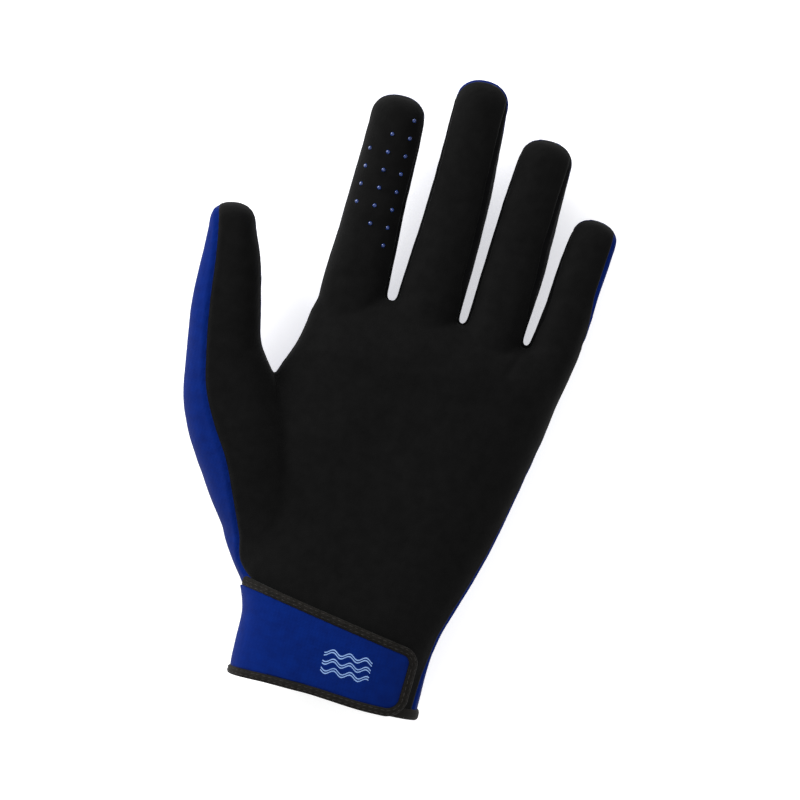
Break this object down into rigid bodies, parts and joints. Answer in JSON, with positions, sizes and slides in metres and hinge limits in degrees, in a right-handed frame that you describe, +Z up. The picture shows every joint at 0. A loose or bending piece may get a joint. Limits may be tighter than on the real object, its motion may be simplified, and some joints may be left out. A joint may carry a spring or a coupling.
{
  "type": "sailing glove",
  "caption": "Left full-finger glove with a suede palm, stretch back, finger side strips, silicone grip dots and a hook-and-loop wrist tab.",
  "frame": {"origin": "under the middle of the glove, on the surface that its back lies on", "axes": "+Z up out of the palm, +Y from the cuff to the fingertips, the thumb on the -X side"},
  "size_m": [0.1316, 0.21, 0.0405],
  "materials": {
    "palm_suede": "matte synthetic suede",
    "backhand_stretch": "matte stretch knit",
    "side_mesh": "fine stretch knit",
    "binding_tape": "ribbed woven tape",
    "hook_tape": "hook fastener tape",
    "loop_tape": "napped loop fastener tape",
    "silicone_dot": "glossy silicone"
  },
  "bodies": {
    "hand": {"palm_panel": "palm_suede", "back_panel": "backhand_stretch", "cuff_binding": "binding_tape", "loop_patch": "loop_tape"},
    "tab": {"closure_tab": "backhand_stretch", "tab_binding": "binding_tape", "hook_patch": "hook_tape"},
    "index_finger_lower": {"index_finger_lower_right_fourchette": "side_mesh", "index_finger_lower_palm_side": "palm_suede", "index_finger_lower_back": "backhand_stretch", "grip_dot_04": "silicone_dot", "grip_dot_09": "silicone_dot", "grip_dot_10": "silicone_dot", "grip_dot_16": "silicone_dot", "grip_dot_17": "silicone_dot", "grip_dot_18": "silicone_dot"},
    "index_finger_upper": {"index_finger_upper_right_fourchette": "side_mesh", "index_finger_upper_palm_side": "palm_suede", "index_finger_upper_back": "backhand_stretch", "grip_dot_01": "silicone_dot", "grip_dot_02": "silicone_dot", "grip_dot_03": "silicone_dot", "grip_dot_05": "silicone_dot", "grip_dot_06": "silicone_dot", "grip_dot_07": "silicone_dot", "grip_dot_08": "silicone_dot", "grip_dot_11": "silicone_dot", "grip_dot_12": "silicone_dot", "grip_dot_13": "silicone_dot", "grip_dot_14": "silicone_dot", "grip_dot_15": "silicone_dot"},
    "middle_finger_lower": {"middle_finger_lower_left_fourchette": "side_mesh", "middle_finger_lower_right_fourchette": "side_mesh", "middle_finger_lower_palm_side": "palm_suede", "middle_finger_lower_back": "backhand_stretch"},
    "middle_finger_upper": {"middle_finger_upper_left_fourchette": "side_mesh", "middle_finger_upper_right_fourchette": "side_mesh", "middle_finger_upper_palm_side": "palm_suede", "middle_finger_upper_back": "backhand_stretch"},
    "ring_finger_lower": {"ring_finger_lower_left_fourchette": "side_mesh", "ring_finger_lower_right_fourchette": "side_mesh", "ring_finger_lower_palm_side": "palm_suede", "ring_finger_lower_back": "backhand_stretch"},
    "ring_finger_upper": {"ring_finger_upper_left_fourchette": "side_mesh", "ring_finger_upper_right_fourchette": "side_mesh", "ring_finger_upper_palm_side": "palm_suede", "ring_finger_upper_back": "backhand_stretch"},
    "little_finger_lower": {"little_finger_lower_left_fourchette": "side_mesh", "little_finger_lower_palm_side": "palm_suede", "little_finger_lower_back": "backhand_stretch"},
    "little_finger_upper": {"little_finger_upper_left_fourchette": "side_mesh", "little_finger_upper_palm_side": "palm_suede", "little_finger_upper_back": "backhand_stretch"},
    "thumb_lower": {"thumb_lower_palm_side": "palm_suede", "thumb_lower_back": "backhand_stretch"},
    "thumb_upper": {"thumb_upper_palm_side": "palm_suede", "thumb_upper_back": "backhand_stretch"}
  },
  "joints": [
    {"name": "index_knuckle", "type": "hinge", "parent": "hand", "child": "index_finger_lower", "pos_m": [-0.01456, 0.03002, 0.02221], "axis": [0.9998, 0.0187, 0], "range_deg": [0, 60]},
    {"name": "index_middle", "type": "hinge", "parent": "index_finger_lower", "child": "index_finger_upper", "pos_m": [-0.01427, 0.0598, 0.02379], "axis": [1, -0.0072, 0], "range_deg": [0, 72]},
    {"name": "middle_knuckle", "type": "hinge", "parent": "hand", "child": "middle_finger_lower", "pos_m": [0.01073, 0.03029, 0.02272], "axis": [0.9996, -0.0287, 0], "range_deg": [0, 60]},
    {"name": "middle_middle", "type": "hinge", "parent": "middle_finger_lower", "child": "middle_finger_upper", "pos_m": [0.01204, 0.06313, 0.02447], "axis": [0.9999, -0.0124, 0], "range_deg": [0, 72]},
    {"name": "ring_knuckle", "type": "hinge", "parent": "hand", "child": "ring_finger_lower", "pos_m": [0.03401, 0.02854, 0.02224], "axis": [0.9982, -0.0597, 0], "range_deg": [0, 60]},
    {"name": "ring_middle", "type": "hinge", "parent": "ring_finger_lower", "child": "ring_finger_upper", "pos_m": [0.0352, 0.05523, 0.02338], "axis": [0.9996, -0.0265, 0], "range_deg": [0, 72]},
    {"name": "little_knuckle", "type": "hinge", "parent": "hand", "child": "little_finger_lower", "pos_m": [0.0539, 0.02417, 0.02087], "axis": [0.9887, -0.15, 0], "range_deg": [0, 60]},
    {"name": "little_middle", "type": "hinge", "parent": "little_finger_lower", "child": "little_finger_upper", "pos_m": [0.05613, 0.04344, 0.0213], "axis": [0.9953, -0.0972, 0], "range_deg": [0, 72]},
    {"name": "thumb_knuckle", "type": "hinge", "parent": "hand", "child": "thumb_lower", "pos_m": [-0.04768, 0.00162, 0.03034], "axis": [0.8795, 0.2805, -0.3845], "range_deg": [0, 30]},
    {"name": "thumb_middle", "type": "hinge", "parent": "thumb_lower", "child": "thumb_upper", "pos_m": [-0.05213, 0.02229, 0.0303], "axis": [0.9105, 0.1487, -0.3857], "range_deg": [0, 45]},
    {"name": "tab_fold", "type": "hinge", "parent": "hand", "child": "tab", "pos_m": [-0.02897, -0.08765, 0.0194], "axis": [0.1451, -0.9894, 0], "range_deg": [0, 140]}
  ]
}
